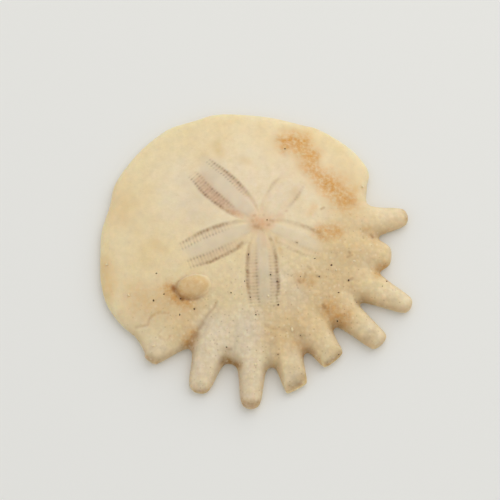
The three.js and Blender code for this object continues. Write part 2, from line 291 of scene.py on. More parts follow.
# Petals. Each has a bearing from the apex, a length, how grey its middle is, and a left and a right half.
# A half has its outer and inner row's distance from the axis, how fast they open, how strong their pores are,
# and how strong the line along the outer row and the tint between the rows are
petals = {
    "arms": [
        {"bearing": 55.5, "length": 8.9, "middle": 0.35,
         "left": {"rows": (2.1, 1.1), "opening": 2.1, "pores": (0.05, 0), "line": 0.5, "tint": 0},
         "right": {"rows": (2.1, 1.1), "opening": 2.1, "pores": (0.2, 0.05), "line": 0.35, "tint": 0.15}},
        {"bearing": 133.3, "length": 12.6, "middle": 0.9,
         "left": {"rows": (2.7, 1.3), "opening": 2.9, "pores": (0.9, 0.7), "line": 0.5, "tint": 0.85},
         "right": {"rows": (2.2, 1.5), "opening": 2.2, "pores": (0.85, 0.75), "line": 0.4, "tint": 0.45}},
        {"bearing": 202.3, "length": 11.9, "middle": 0.8,
         "left": {"rows": (2.6, 1.3), "opening": 2.2, "pores": (0.75, 0.65), "line": 0.85, "tint": 0.5},
         "right": {"rows": (2.15, 1.15), "opening": 2.2, "pores": (0.6, 0.7), "line": 0.75, "tint": 0.25}},
        {"bearing": 272.8, "length": 12.2, "middle": 0.8,
         "left": {"rows": (2.15, 1.15), "opening": 2.2, "pores": (0.75, 0.5), "line": 0.8, "tint": 0.35},
         "right": {"rows": (2.3, 0.95), "opening": 2.2, "pores": (0.6, 0.75), "line": 1, "tint": 0.5}},
        {"bearing": 338.6, "length": 9.7, "middle": 0.6,
         "left": {"rows": (2.1, 1.1), "opening": 2.1, "pores": (0.1, 0.1), "line": 0.45, "tint": 0.05},
         "right": {"rows": (2.1, 1.1), "opening": 2.1, "pores": (0.2, 0.15), "line": 0.55, "tint": 0.1}},
    ],
    "closing": 0.16,  # how much nearer to the axis a row ends than it runs
    "reliefStart": (0.8, 2.4),  # mm from the apex, where the relief, the pores and the tint come in
    "poreStart": (3, 7),
    "tintStart": (1.5, 6),
    "lineHalfWidth": 0.5,
    "bandDepth": 0.13,
    "middleRise": 0.06,
    "plateRadius": 2.2,
    "plateRise": 0.15,
    "poreSpacing": 0.48,  # along a band, read from the photograph
    "poreLength": 0.22,
    "poreWidth": 0.14,
    "poreDepth": 0.07,
    "grooveDepth": 0.035,
    "grooveWidth": 0.12,
    "fineMesh": (0.35, 1.2, 0.8),  # how far it goes beside a band, where it starts, and how far past the end
}


def petalRows(along, arm, half):  # how far the outer and the inner row of pores run from the petal's axis
    opened = 1 - np.exp(-np.maximum(along, 0) / half["opening"])
    closed = 1 - petals["closing"] * ease(along, arm["length"] * 0.7, arm["length"])
    return [offset * opened * closed for offset in half["rows"]]


def petalHalves(points):  # each half petal, with the points' places along its axis and out to its own side
    spoke = points - sandDollar["apex"]
    for arm in petals["arms"]:
        along, side = spoke @ direction(arm["bearing"]), spoke @ direction(arm["bearing"] + 90)
        yield arm, arm["left"], along, side
        yield arm, arm["right"], along, -side


def petalRelief(points):  # the relief of the petals, with masks for their pores, lines and tints
    out = np.linalg.norm(points - sandDollar["apex"], axis=1)
    relief = petals["plateRise"] * swell(out, petals["plateRadius"])
    masks = {label: np.zeros(len(points)) for label in ("pore", "poreLine", "petalTint", "middle", "clear")}
    worn = np.clip(0.8 + 0.4 * softNoise(points, 0.7, 51) + 0.25 * softNoise(points, 0.3, 52), 0, 1.15)
    for arm, half, along, aside in petalHalves(points):
        here = aside > 0
        length = arm["length"]
        outer, inner = petalRows(along, arm, half)
        shown = here * ease(along, *petals["reliefStart"]) * (1 - ease(along, length - 1.5, length + 0.4))
        width = np.maximum(outer - inner, 0.05)
        relief -= petals["bandDepth"] * shown * swell(np.abs(aside - (outer + inner) / 2), width)
        relief += petals["middleRise"] * shown * swell(aside, np.maximum(inner * 1.2, 0.05))
        # two rows of pores, joined across the band by fine grooves
        stepAway = np.abs((along / petals["poreSpacing"]) % 1 - 0.5) * petals["poreSpacing"]
        opened = here * ease(along, *petals["poreStart"]) * (1 - ease(along, length - 0.4, length + 0.6))
        outerPores, innerPores = half["pores"]
        pores = np.zeros(len(points))
        for row, strength in ((outer, outerPores), (inner, innerPores)):
            away = (stepAway / petals["poreWidth"]) ** 2 + ((aside - row) / petals["poreLength"]) ** 2
            pores = np.maximum(pores, strength * np.exp(-away))
        between = ease(aside, inner, inner + 0.2) * (1 - ease(aside, outer - 0.2, outer))
        grooves = min(outerPores, innerPores) * np.exp(-((stepAway / petals["grooveWidth"]) ** 2)) * between
        relief -= opened * (petals["poreDepth"] * pores + petals["grooveDepth"] * grooves)
        masks["pore"] = np.maximum(masks["pore"], opened * worn * np.maximum(pores, 0.4 * grooves))
        lineFade = here * (0.35 * ease(along, 1, 2.6) + 0.65 * ease(along, 3, 6.5))
        lineFade *= 1 - ease(along, length * 0.7, length + 0.3)
        line = half["line"] * worn * swell(np.abs(aside - outer), petals["lineHalfWidth"]) * lineFade
        masks["poreLine"] = np.maximum(masks["poreLine"], line)
        band = ease(aside, inner - 0.4, inner + 0.1) * (1 - ease(aside, outer - 0.05, outer + 0.5))
        tintFade = here * ease(along, *petals["tintStart"]) * (1 - ease(along, length * 0.72, length + 0.3))
        masks["petalTint"] = np.maximum(masks["petalTint"], half["tint"] * band * tintFade)
        middle = arm["middle"] * shown * (1 - ease(aside, inner * 0.6, inner + 0.2))
        masks["middle"] = np.maximum(masks["middle"], middle)
        masks["clear"] = np.maximum(masks["clear"], shown * (1 - ease(aside, outer, outer + 0.4)))
    return relief, masks


growth = {
    "at": (-8.0, -6.25),
    "halfLength": 2.5,
    "halfWidth": 1.75,
    "turn": 10,
    "rise": 1.1,
    "crease": 0.13,
    "creaseFacing": 205,  # deepest on the left
    "creaseAt": 1.07,  # in radii of the growth
    "creaseWidth": 0.2,
    # painted shade round the lump's left and lower edge, where it overhangs, with a brown halo
    "darkening": 0.65,
    "darkeningWidth": 0.32,
    "ribCount": 38,
    "ribHeight": 0.03,
}


def growthRelief(points):
    offset = points - growth["at"]
    along, across = offset @ direction(growth["turn"]), offset @ direction(growth["turn"] + 90)
    out = np.hypot(along / growth["halfLength"], across / growth["halfWidth"])
    angle = np.arctan2(across / growth["halfWidth"], along / growth["halfLength"])
    facing = math.radians(growth["creaseFacing"])
    towards = ease(np.cos(angle - facing), -0.5, 0.9)
    crease = swell(np.abs(out - growth["creaseAt"]), growth["creaseWidth"]) * towards
    ribs = np.cos(angle * growth["ribCount"]) * ease(out, 0.9, 1.02) * (1 - ease(out, 1.2, 1.7))
    ribs *= ease(-np.sin(angle), 0, 0.6)
    dome = growth["rise"] * np.clip(1 - out**2.4, 0, 1) ** (0.8 - 0.3 * towards)
    # painted shade below the lump's overhanging left side, with a brown halo
    darkening = growth["darkening"] * swell(np.abs(out - 1), growth["darkeningWidth"]) * towards
    relief = dome - growth["crease"] * crease + growth["ribHeight"] * ribs
    return relief, darkening, np.clip(1 - out, 0, 1)


def roughness(points):  # 0 on the worn front half, 1 among the fingers
    return ease(points @ direction(sandDollar["roughFacing"]), *sandDollar["roughBetween"])


# Creases and hairlines: places in photo pixels, half the width in pixels, the depth in mm, and how strong the
# painted shade along them is
creases = [
    ([(190, 344), (198, 329), (203, 322)], 4, 0.12, 0.35),
    ([(203, 322), (207, 315), (213, 309), (217, 302)], 2.4, 0.06, 0.3),
    ([(189, 346), (196, 333)], 6, 0.1, 0.55),
    ([(136, 327), (147, 325), (151, 316), (159, 312), (168, 313)], 2.6, 0.07, 0.3),
    ([(161, 330), (158, 334), (161, 339), (167, 340), (170, 336)], 2, 0.05, 0.2),
    ([(266, 326), (282, 330), (296, 334)], 4, 0.06, 0.15),
]


def creaseDepth(seen):
    depth = np.zeros(len(seen))
    shade = np.zeros(len(seen))
    for places, reach, deepest, shadeMost in creases:
        cut = swell(toLine(seen, places), reach)
        depth = np.maximum(depth, deepest * cut)
        # painted shade along the creases
        shade = np.maximum(shade, shadeMost * cut)
    return depth, shade


# Broken finger ends: a flat slope that starts at the end line and climbs inwards
breaks = {
    "ends": [
        {"from": (5.4, -21.0), "to": (8.1, -19.5), "slope": 0.75},
        {"from": (10.6, -17.3), "to": (13.3, -15.4), "slope": 1.5},
        {"from": (-8.6, -20.8), "to": (-6.1, -21.2), "slope": 1.4},
    ],
    "inwards": 3.2,  # how far a break can reach
    "sideways": 0.8,  # in lengths of the end line, to either side of its middle
    "unevenness": 0.05,
    "lumpSize": 0.35,
}


def brokenEnds(points, height):  # cuts the broken ends flat
    for end in breaks["ends"]:
        start, stop = np.array(end["from"]), np.array(end["to"])
        length = np.linalg.norm(stop - start)
        run = (stop - start) / length
        inside = (points - start) @ (-run[1], run[0])
        beside = np.abs((points - (start + stop) / 2) @ run) > length * breaks["sideways"]
        face = sandDollar["edgeHeight"] + end["slope"] * np.maximum(inside, 0)
        face += breaks["unevenness"] * softNoise(points, breaks["lumpSize"], 31)
        height = np.where(beside | (inside > breaks["inwards"]), height, np.minimum(height, face))
    return height


# Painted shade, with some dirt, in the hollows between the fingers, where their walls turn away from the light
hollowShadeAndDirt = {
    "strength": 0.35,  # for each mm of a hollow's depth
    "reach": 2.1,
    "fade": (0.4, 1.6),  # mm inside the margin
}


def notchShadeAndDirt(points, inside):  # painted shade and dirt in the hollows between the fingers, darker the deeper the hollow and the nearer its floor
    darkening = np.zeros(len(points))
    for finger in fingers:
        away = np.linalg.norm(points - finger["notch"], axis=1)
        darkening = np.maximum(darkening, hollowShadeAndDirt["strength"] * finger["depth"] * swell(away, hollowShadeAndDirt["reach"]))
    return darkening * (1 - ease(inside, *hollowShadeAndDirt["fade"]))


# Stains and tints: a line of places in photo pixels, half the width in pixels, and how strong
stains = {
    "rust": [
        ([(286, 142), (304, 142)], 12, 1),
        ([(300, 148), (312, 158)], 12, 0.9),
        ([(308, 164), (322, 178)], 12, 0.85),
        ([(322, 178), (334, 190), (345, 200)], 15, 0.95),
        ([(322, 232), (336, 231)], 10, 0.75),
        ([(365, 232), (375, 238)], 8, 0.35),
        ([(331, 310), (341, 317)], 13, 0.75),
        ([(331, 318), (336, 326)], 8, 0.6),
        ([(299, 279), (309, 283)], 9, 0.5),
        ([(378, 272), (385, 268)], 8, 0.7),
        ([(310, 214), (314, 206)], 5, 0.35),
        ([(186, 342), (193, 334)], 8, 0.8),
        ([(170, 288), (175, 296), (186, 303)], 9, 0.75),
        ([(306, 352), (298, 344)], 8, 0.4),
        ([(228, 210), (238, 214)], 3, 0.35),
        ([(276, 238), (281, 252)], 3, 0.3),
    ],
    "tan": [
        ([(104, 266), (108, 290)], 13, 0.8),
        ([(112, 190), (122, 215)], 20, 0.4),
        ([(290, 325), (325, 300), (345, 255)], 38, 0.7),
        ([(140, 300), (175, 308)], 24, 0.85),
        ([(268, 332), (292, 342)], 18, 0.9),
        ([(350, 185), (352, 230)], 26, 0.5),
        ([(196, 306), (180, 330)], 15, 0.7),
        ([(276, 150), (296, 166)], 24, 0.35),
    ],
    "ochre": [
        ([(217, 146), (220, 154)], 6, 0.45),
        ([(243, 160), (248, 162)], 5, 0.35),
        ([(154, 245), (164, 248)], 7, 0.3),
        ([(296, 192), (298, 198)], 5, 0.35),
    ],
    # olive: painted shade and dirt on the wall of the hollow between fingers 7 and 8
    "olive": [
        ([(226, 361), (236, 365)], 8, 0.95),
        ([(225, 352), (231, 356)], 6, 0.4),
    ],
    "chalk": [
        ([(196, 196), (235, 182), (285, 192)], 48, 0.8),
        ([(205, 224), (228, 218)], 22, 0.5),
        ([(198, 378), (216, 330)], 26, 0.85),
        ([(251, 396), (246, 325)], 22, 0.85),
        ([(296, 352), (292, 372)], 13, 0.5),
        ([(156, 346), (160, 352)], 11, 0.5),
        ([(284, 275), (296, 296)], 18, 0.5),
        ([(372, 325), (378, 336)], 12, 0.5),
        ([(386, 215), (398, 214)], 11, 0.5),
        ([(392, 294), (404, 300)], 12, 0.5),
    ],
    "grey": [
        ([(204, 160), (214, 172)], 9, 0.5),
        ([(186, 180), (200, 196)], 10, 0.4),
        ([(190, 208), (205, 216)], 12, 0.35),
        ([(262, 276), (262, 296)], 11, 0.7),
        ([(273, 282), (275, 302)], 6, 0.6),
        ([(148, 357), (158, 361)], 8, 0.6),
    ],
    "endShadeAndBreaks": [  # painted shade: the end walls and broken faces of the fingers, which face away from the light, painted grey-brown
        ([(292, 385), (303, 378)], 7, 0.85),
        ([(328, 362), (341, 354)], 5, 0.8),
        ([(194, 391), (206, 391)], 5, 0.8),
        ([(243, 403), (258, 403)], 6, 0.9),
        ([(150, 357), (158, 361)], 5, 0.5),
        ([(366, 339), (373, 334)], 5, 0.4),
        ([(403, 210), (407, 214), (407, 219)], 3, 0.7),
    ],
    "pit": [  # small deep pores, and the marks that they leave
        ([(254, 215.5), (255, 215)], 1.7, 0.3),
        ([(259, 215), (260, 215)], 1.5, 0.15),
        ([(263.5, 215), (264, 215)], 1.7, 0.25),
        ([(252, 220), (253, 221)], 1.9, 0.25),
        ([(255, 226), (258, 227)], 2.8, 0.4),
        ([(261, 229), (262, 230)], 2.4, 0.3),
        ([(268, 225), (269, 225)], 1.4, 0.35),
        ([(270, 220), (273, 221)], 1.6, 0.3),
        ([(270, 238.5), (271, 239.5)], 1.8, 0.4),
        ([(238.5, 245.5), (242, 242.5)], 2, 0.45),
        ([(286, 211), (287, 211)], 1.4, 0.25),
        ([(296, 242), (297, 242.5)], 1.6, 0.4),
        ([(173, 287), (174, 290)], 2.7, 0.95),
        ([(181, 299), (182, 299.5)], 2, 0.9),
        ([(194, 309), (195, 308)], 1.7, 0.35),
        ([(228, 349), (231, 349)], 1.6, 0.4),
        ([(277, 354), (279, 353.5)], 1.6, 0.4),
        ([(300, 335), (301, 336)], 2, 0.4),
        ([(317, 276), (320, 277)], 1.6, 0.35),
        ([(305, 273.5), (305.5, 274.5), (303.5, 281)], 1.5, 0.4),
        ([(298.5, 280), (300, 283)], 1.8, 0.45),
        ([(308, 267), (311, 269)], 1.9, 0.35),
        ([(349, 252), (350, 253)], 1.4, 0.5),
        ([(347.5, 257), (352, 255)], 1.3, 0.35),
        ([(348.5, 280.5), (352.5, 278)], 1.5, 0.45),
        ([(371, 235), (372.5, 237.5)], 1.7, 0.7),
        ([(363, 237), (363.5, 238)], 1.4, 0.4),
        ([(321, 209), (324, 207.5)], 1.4, 0.5),
        ([(322.5, 304.5), (325, 307.5)], 1.7, 0.45),
        ([(303.5, 335), (304.5, 335.5)], 1.3, 0.35),
        ([(355, 300), (357.5, 303)], 1.8, 0.4),
    ],
    "rose": [
        ([(257, 222), (264, 224)], 10, 1),
        ([(229, 210), (242, 216)], 3.5, 0.6),
        ([(250, 216), (262, 212)], 6, 0.4),
        ([(266, 221), (280, 217)], 5, 0.4),
        ([(263, 232), (264, 244)], 5, 0.4),
        ([(200, 180), (222, 202)], 8, 0.5),
    ],
}

stainEdges = {
    "coarse": 2.2,  # how ragged the edges are, in pixels, by lumps of a size in mm
    "coarseSize": 1.6,
    "fine": 1.2,
    "fineSize": 0.7,
    "fullAt": 12,  # a stain with this reach is as ragged as that, and smaller ones are less so
    "softness": 1.4,
}


def stainMasks(seen, points):
    ragged = stainEdges["coarse"] * softNoise(points, stainEdges["coarseSize"], 41)
    ragged += stainEdges["fine"] * softNoise(points, stainEdges["fineSize"], 42)
    masks = {}
    for colour, patches in stains.items():
        masks[colour] = np.zeros(len(points))
        for places, reach, strength in patches:
            away = toLine(seen, places) + ragged * reach / stainEdges["fullAt"]
            shown = strength * swell(away, reach * stainEdges["softness"])
            masks[colour] = np.maximum(masks[colour], shown)
    return masks


texture = {  # of the upper side, in mm; what is called rough comes on top where the test is rough
    "waveHeight": 0.05,
    "waveSize": 4.2,
    "rippleHeight": 0.02,
    "roughRipple": 0.04,
    "rippleSize": 1.7,
    "bumpHeight": 0.07,
    "bumpSpacing": 0.95,
    "dentHeight": 0.03,
    "dentSize": 0.55,
    "tubercleHeight": 0.01,
    "roughTubercle": 0.03,
    "tubercleSpacing": 0.42,
    "lostOnPetals": 0.7,  # the share of the bumps and tubercles that is missing there
    "lostOnGrowth": 0.6,
    "rimDirt": 0.4,  # painted shade: how dark the rim of the rough half is, and how far in
    "rimDirtReach": 0.7,
}


def topSkin(points, inside):
    relief, masks = petalRelief(points)
    # the lump's second result is painted shade round its overhanging edge, with a brown halo
    lump, lumpShadeAndHalo, onGrowth = growthRelief(points)
    seen = toPhoto(points, plainHeight(points) + lump)
    cut, cutShade = creaseDepth(seen)
    rough = roughness(points)
    full = domeHeight(points) + fingerRelief(points) + relief + lump - cut
    waves = texture["waveHeight"] * softNoise(points, texture["waveSize"], 11)
    rippleHeight = texture["rippleHeight"] + texture["roughRipple"] * rough
    full += waves + rippleHeight * softNoise(points, texture["rippleSize"], 12)
    clear = 1 - texture["lostOnPetals"] * masks.pop("clear")
    clear *= 1 - texture["lostOnGrowth"] * ease(onGrowth, 0, 0.1)
    bumps = grains(points, texture["bumpSpacing"], 13)
    dents = texture["dentHeight"] * softNoise(points, texture["dentSize"], 14)
    full += rough * clear * (texture["bumpHeight"] * bumps + dents)
    tubercles = grains(points, texture["tubercleSpacing"], 15)
    full += (texture["tubercleHeight"] + texture["roughTubercle"] * rough) * clear * tubercles
    low = sandDollar["edgeHeight"]
    height = low + (full - low) * rounding(inside, sandDollar["topRounding"])
    masks.update(stainMasks(seen, points))
    # painted shade along the rim of the rough half, whose edges turn away from the light
    rimDirt = texture["rimDirt"] * rough * (1 - ease(inside, 0, texture["rimDirtReach"]))
    masks["brown"] = np.maximum(np.maximum(lumpShadeAndHalo, cutShade), rimDirt)
    # olive also takes the painted shade and dirt in the hollows between the fingers
    masks["olive"] = np.maximum(masks["olive"], notchShadeAndDirt(points, inside))
    masks["rough"] = rough * clear
    masks["bumps"] = rough * clear * (0.6 * bumps + 0.4 * tubercles)
    masks["growth"] = ease(onGrowth, 0, 0.25)
    return brokenEnds(points, height), masks


# Heights of the underside
underside = {
    "mouthRadius": 1.3,
    "mouthDepth": 1.5,
    "ventAt": (4.0, -1.7),
    "ventRadius": 0.7,
    "ventDepth": 0.9,
    "grooveStart": 1.8,
    "grooveFork": 6.5,
    "grooveEnd": 15,
    "grooveSpread": 15,
    "grooveHalfWidth": 0.55,
    "grooveDepth": 0.35,
    "skin": 0.05,  # the skin stands this far up, so that its tubercles come down to the floor
    "tubercleSpacing": 0.75,
    "roughness": 0.6,
    # how much darker the mouth, the vent and the food grooves are
    "darkening": 0.8,
}


def foodGrooves(points):
    apex = np.array(sandDollar["apex"])
    deepest = np.zeros(len(points))
    for arm in petals["arms"]:
        fork = apex + direction(arm["bearing"]) * underside["grooveFork"]
        stem, _ = toSegment(points, apex + direction(arm["bearing"]) * underside["grooveStart"], fork)
        deepest = np.maximum(deepest, swell(stem, underside["grooveHalfWidth"]))
        for turn in (-underside["grooveSpread"], underside["grooveSpread"]):
            end = apex + direction(arm["bearing"] + turn) * underside["grooveEnd"]
            branch, share = toSegment(points, fork, end)
            deepest = np.maximum(deepest, swell(branch, underside["grooveHalfWidth"]) * (1 - share))
    return deepest * underside["grooveDepth"]


def pit(points, at, radius, depth):
    return depth * (1 - ease(np.linalg.norm(points - at, axis=1), radius * 0.4, radius))


def underSkin(points, inside):
    grooves = foodGrooves(points)
    mouth = pit(points, sandDollar["apex"], underside["mouthRadius"], underside["mouthDepth"])
    vent = pit(points, underside["ventAt"], underside["ventRadius"], underside["ventDepth"])
    hollow = np.maximum(np.maximum(mouth, vent), grooves)
    tubercles = grains(points, underside["tubercleSpacing"], 21)
    flat = underside["skin"] * (1 - tubercles * (1 - ease(hollow, 0, 0.2))) + hollow
    height = flat + (sandDollar["edgeHeight"] - flat) * (1 - rounding(inside, sandDollar["underRounding"]))
    masks = {
        "brown": underside["darkening"] * ease(hollow, 0.1, 0.6),
        "bumps": underside["roughness"] * tubercles,
        "rough": np.full(len(points), underside["roughness"]),
    }
    return height, masks


# The mesh: points spread over both sides, joined into triangles within the outline
def hexGrid(step, reach):
    rowGap = 0.866  # the height of a triangle with equal sides
    wobble = 0.12  # so that no straight rows show
    rows = np.arange(-reach / step / rowGap, reach / step / rowGap)
    columns = np.arange(-reach / step, reach / step)
    x, y = np.meshgrid(columns, rows)
    grid = np.column_stack([((x + (np.round(y) % 2) / 2) * step).ravel(), (y * step * rowGap).ravel()])
    return grid + np.random.RandomState(5).uniform(-wobble, wobble, grid.shape) * step


def rimRings(insets):
    run = np.roll(rim, -1, 0) - np.roll(rim, 1, 0)
    inwards = np.column_stack([run[:, 1], -run[:, 0]]) / np.linalg.norm(run, axis=1)[:, None]
    rings = []
    for inset in insets:
        ring = rim + inwards * inset
        rings.append(ring[toMargin(ring) > inset * 0.9])
    return np.vstack(rings)


def nearPetals(points):
    near = np.zeros(len(points), bool)
    beside, start, beyond = petals["fineMesh"]
    for arm, half, along, aside in petalHalves(points):
        outer, inner = petalRows(along, arm, half)
        inBand = (aside > inner - beside) & (aside < outer + beside)
        near |= (along > start) & (along < arm["length"] + beyond) & inBand
    return near


def surfacePoints(step, insets, petalStep=None):
    points = hexGrid(step, sandDollar["gridReach"])
    points = points[insideOutline(points)]
    points = points[toMargin(points) > insets[-1] + step * 0.6]
    if petalStep:
        fine = hexGrid(petalStep, sandDollar["petalReach"])
        points = np.vstack([points[~nearPetals(points)], fine[nearPetals(fine)]])
    return np.vstack([rimRings(insets), points])


def triangulate(points):
    loose = [Vector(point) for point in np.vstack([rim, points])]
    made = delaunay_2d_cdt(loose, [], [list(range(len(rim)))], 1, 1e-6)
    back = np.array([origins[0] for origins in made[3]])
    faces = back[np.array([face for face in made[2] if len(face) == 3])]
    corners = np.vstack([rim, points])[faces]
    first, second = corners[:, 1] - corners[:, 0], corners[:, 2] - corners[:, 0]
    turned = first[:, 0] * second[:, 1] - first[:, 1] * second[:, 0] < 0
    faces[turned] = faces[turned][:, ::-1]
    return faces


def meshObject(name, vertices, faces, masks=None):
    mesh = bpy.data.meshes.new(name)
    mesh.from_pydata((vertices / 1000).tolist(), [], faces.tolist())
    mesh.polygons.foreach_set("use_smooth", np.ones(len(mesh.polygons), bool))
    for label, values in (masks or {}).items():
        mesh.attributes.new(label, "FLOAT", "POINT").data.foreach_set("value", values.astype(np.float32))
    mesh.update()
    piece = bpy.data.objects.new(name, mesh)
    bpy.context.scene.collection.objects.link(piece)
    return piece


def buildTest():
    top = surfacePoints(sandDollar["topStep"], sandDollar["rimInsets"], sandDollar["petalStep"])
    under = surfacePoints(sandDollar["underStep"], sandDollar["rimInsets"][1::2])
    topFaces, underFaces = triangulate(top), triangulate(under)
    print("stage: skins triangulated,", len(topFaces), "and", len(underFaces), "triangles")
    whole = np.vstack([rim, top])
    topHeights, topMasks = topSkin(whole, np.concatenate([np.zeros(len(rim)), toMargin(top)]))
    topHeights[: len(rim)] = sandDollar["edgeHeight"]
    underHeights, underMasks = underSkin(under, toMargin(under))
    underFaces = np.where(underFaces < len(rim), underFaces, underFaces + len(top))[:, ::-1]
    vertices = np.column_stack([np.vstack([whole, under]) + shift, np.concatenate([topHeights, underHeights])])
    none = np.zeros(len(under))
    masks = {label: np.concatenate([values, underMasks.get(label, none)]) for label, values in topMasks.items()}
    return meshObject("sand_dollar_test", vertices, np.vstack([topFaces, underFaces]), masks)


def linear(hexColour):  # an sRGB hex value as the linear colour that shaders work in
    parts = [int(hexColour[i : i + 2], 16) / 255 for i in (1, 3, 5)]
    return tuple(v / 12.92 if v <= 0.04045 else ((v + 0.055) / 1.055) ** 2.4 for v in parts) + (1,)


def addNode(material, kind, settings=None, inputs=None):  # a node with its settings, values and links
    node = material.node_tree.nodes.new(kind)
    for name, value in (settings or {}).items():
        setattr(node, name, value)
    for name, value in (inputs or {}).items():
        if isinstance(value, bpy.types.NodeSocket):
            material.node_tree.links.new(value, node.inputs[name])
        else:
            node.inputs[name].default_value = value
    return node


bleachedTest = {
    "base": "#f3e1ba",
    "deep": "#ecd3a0",
    "marks": [  # mask, colour, and how much of it shows at least and at most, by a fine speckle
        ("tan", "#e3c08a", 0.5, 0.85),
        ("chalk", "#efe0c8", 0.5, 0.85),
        ("middle", "#dfcfb6", 0.6, 0.95),
        ("grey", "#d2c3a6", 0.4, 0.75),
        ("rose", "#e0b084", 0.5, 0.85),
        ("ochre", "#dcbc72", 0.3, 0.9),
        ("growth", "#d3ae75", 0.45, 0.75),
        ("rust", "#d99e4c", 0.35, 1.0),
        ("petalTint", "#c7a084", 0.4, 0.75),
        ("poreLine", "#a17645", 0.45, 0.9),
        ("pore", "#7d6450", 0.35, 0.7),
        ("pit", "#9c6430", 0.7, 0.9),
        # painted shade on the walls and broken faces at the finger ends
        ("endShadeAndBreaks", "#b79e76", 0.5, 0.95),
        # olive: painted shade and dirt in the hollows between the fingers
        ("olive", "#a2762c", 0.6, 0.95),
        # brown: painted shade along the creases, round the growth and on the rim of the rough half, the growth's
        # brown halo, and the underside's darker hollows
        ("brown", "#ab7434", 0.5, 0.9),
    ],
    "specks": [  # spacing and radius in metres, colour, strength, and how much of it the smooth half has
        (0.0008, 0.00015, "#9a7044", 0.35, 0.15),
        # pale dots: painted highlights on the spine bases
        (0.0009, 0.00024, "#fbeed2", 0.3, 0.15),
    ],
    "roughness": 0.75,
    "ior": 1.5,
    "subsurface": 0.7,
    "subsurfaceRadius": (0.0024, 0.0016, 0.0009),
    "cloudSize": 0.006,
    "cloudRange": (0.35, 0.75),  # a range is the part of the noise that is used
    "deepest": 0.75,  # how much of the deep colour shows at most
    "mottleSize": 0.0012,  # the porous plates between the spine bases
    "mottleRange": (0.3, 0.7),
    "mottleShades": (0.93, 1.04),
    "speckleSize": 0.0006,
    "speckleRange": (0.35, 0.62),
    "hollowShade": 0.88,  # painted shade between the bumps
    "grainSize": 0.00035,  # spine bases are 0.1 to 0.2 mm; drawn at 0.35 mm, so that they show
    "grainStrength": 0.35,
    "grainHeight": 0.00008,
}


